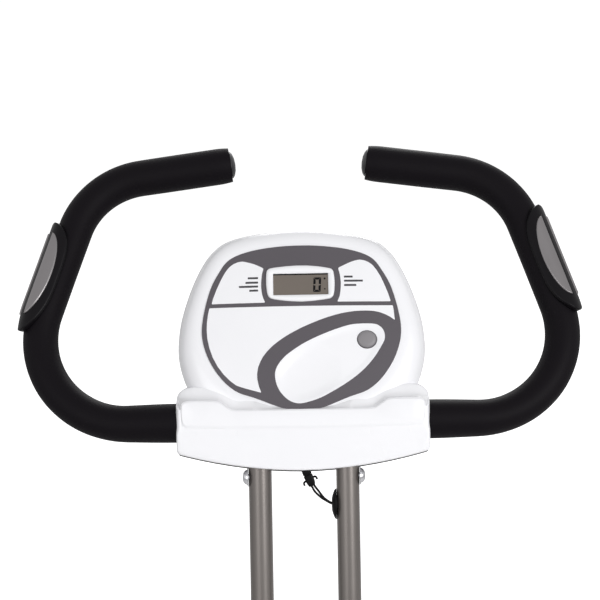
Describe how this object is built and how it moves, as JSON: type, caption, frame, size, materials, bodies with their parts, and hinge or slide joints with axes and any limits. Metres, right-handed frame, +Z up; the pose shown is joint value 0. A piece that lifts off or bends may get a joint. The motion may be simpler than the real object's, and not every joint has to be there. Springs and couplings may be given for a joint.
{
  "type": "folding exercise bike",
  "caption": "Folding X-frame exercise bike with a looped foam handlebar, pulse sensors, a small console, a padded saddle, strapped pedals and floor tubes with transport rollers.",
  "frame": {"origin": "on the floor, at the centre of the footprint", "axes": "+Z up, +Y the way the rider faces, +X to the rider's right"},
  "size_m": [0.5606, 0.8329, 1.1573],
  "materials": {
    "frame_paint": "satin grey metallic paint",
    "chrome": "polished",
    "steel": "machined",
    "cast_iron": "bare casting",
    "white_plastic": "moulded, glossy",
    "black_plastic": "moulded, fine grain",
    "grey_plastic": "moulded, textured",
    "foam": "soft closed-cell foam",
    "vinyl": "smooth synthetic leather over foam",
    "rubber": "moulded",
    "satin_plate": "satin plated",
    "lcd_glass": "clear window over a warm grey display"
  },
  "bodies": {
    "main_frame": {"main_leg": "frame_paint", "front_stabiliser": "frame_paint", "front_cap_left": "black_plastic", "front_cap_right": "black_plastic", "housing_left": "white_plastic", "housing_right": "white_plastic", "crank_bearing": "steel", "flywheel_axle": "steel", "drive_belt": "rubber", "seat_sleeve": "black_plastic"},
    "handlebar_frame": {"post_left": "frame_paint", "post_right": "frame_paint", "rear_cap_left": "black_plastic", "rear_cap_right": "black_plastic", "foam_grip_left": "foam", "foam_grip_right": "foam", "bar_plug_left": "black_plastic", "bar_plug_right": "black_plastic", "pulse_holder_left": "black_plastic", "pulse_holder_right": "black_plastic", "pulse_plate_front_left": "satin_plate", "pulse_plate_front_right": "satin_plate", "pulse_plate_back_left": "satin_plate", "pulse_plate_back_right": "satin_plate", "stub_bolt_left": "chrome", "stub_bolt_right": "chrome", "quadrant_bridge": "frame_paint", "rear_stabiliser": "frame_paint", "pivot_bolt": "chrome", "pivot_nut": "chrome", "pivot_bush": "steel", "handlebar_tube": "chrome", "cover_front": "white_plastic", "cover_rear": "white_plastic", "console_front": "white_plastic", "console_back": "white_plastic", "display_window": "lcd_glass", "sensor_lead": "rubber", "lead_grommet": "rubber"},
    "crank": {"crank_axle": "steel", "crank_pulley": "black_plastic", "crank_left": "chrome", "crank_right": "chrome", "pedal_axle_left": "steel", "pedal_axle_right": "steel"},
    "flywheel": {"flywheel": "cast_iron"},
    "pedal_left": {"pedal_left": "black_plastic", "pedal_strap_left": "rubber"},
    "pedal_right": {"pedal_right": "black_plastic", "pedal_strap_right": "rubber"},
    "magnet_arm": {"magnet_arm": "steel"},
    "tension_knob": {"tension_knob": "black_plastic"},
    "fold_knob": {"fold_knob": "black_plastic"},
    "seat_knob": {"seat_knob": "black_plastic"},
    "seat": {"seat_post": "chrome", "saddle_pan": "black_plastic", "saddle_cushion": "vinyl"},
    "console_button": {"console_button": "grey_plastic"},
    "roller_left": {"roller_left": "rubber"},
    "roller_right": {"roller_right": "rubber"}
  },
  "joints": [
    {"name": "fold", "type": "hinge", "parent": "main_frame", "child": "handlebar_frame", "pos_m": [0, -0.02946, 0.47], "axis": [1, 0, 0], "range_deg": [0, 34]},
    {"name": "seat_height", "type": "slide", "parent": "main_frame", "child": "seat", "axis": [0, -0.6289, 0.7774], "range_m": [0, 0.12]},
    {"name": "flywheel_spin", "type": "hinge", "parent": "main_frame", "child": "flywheel", "pos_m": [0, 0.23054, 0.38], "axis": [1, 0, 0], "continuous": true},
    {"name": "crank_spin", "type": "hinge", "parent": "main_frame", "child": "crank", "pos_m": [0, 0.10554, 0.33], "axis": [1, 0, 0], "continuous": true},
    {"name": "pedal_left_spin", "type": "hinge", "parent": "crank", "child": "pedal_left", "pos_m": [-0.084, -0.0304, 0.39339], "axis": [1, 0, 0], "continuous": true},
    {"name": "pedal_right_spin", "type": "hinge", "parent": "crank", "child": "pedal_right", "pos_m": [0.084, 0.24149, 0.26661], "axis": [1, 0, 0], "continuous": true},
    {"name": "tension_turn", "type": "hinge", "parent": "main_frame", "child": "tension_knob", "pos_m": [0, 0.11348, 0.4482], "axis": [0, -0.5052, 0.863], "range_deg": [0, 300]},
    {"name": "magnet_swing", "type": "hinge", "parent": "main_frame", "child": "magnet_arm", "pos_m": [0, 0.10054, 0.418], "axis": [1, 0, 0], "range_deg": [-4, 0]},
    {"name": "fold_knob_turn", "type": "hinge", "parent": "main_frame", "child": "fold_knob", "pos_m": [-0.028, 0.01583, 0.41402], "axis": [-1, 0, 0], "range_deg": [0, 360]},
    {"name": "seat_knob_turn", "type": "hinge", "parent": "main_frame", "child": "seat_knob", "pos_m": [0, -0.18408, 0.61503], "axis": [0, -0.7774, -0.6289], "range_deg": [0, 360]},
    {"name": "button_push", "type": "slide", "parent": "handlebar_frame", "child": "console_button", "axis": [0, 0.766, -0.6428], "range_m": [0, 0.0015], "stiffness_N_per_m": 500},
    {"name": "roller_left_spin", "type": "hinge", "parent": "main_frame", "child": "roller_left", "pos_m": [-0.197, 0.37954, 0.024], "axis": [1, 0, 0], "continuous": true},
    {"name": "roller_right_spin", "type": "hinge", "parent": "main_frame", "child": "roller_right", "pos_m": [0.197, 0.37954, 0.024], "axis": [1, 0, 0], "continuous": true}
  ],
  "couplings": [
    {"joint": "crank_spin", "follows": "flywheel_spin", "ratio": 0.13529},
    {"joint": "magnet_swing", "follows": "tension_turn", "ratio": -0.013333}
  ]
}
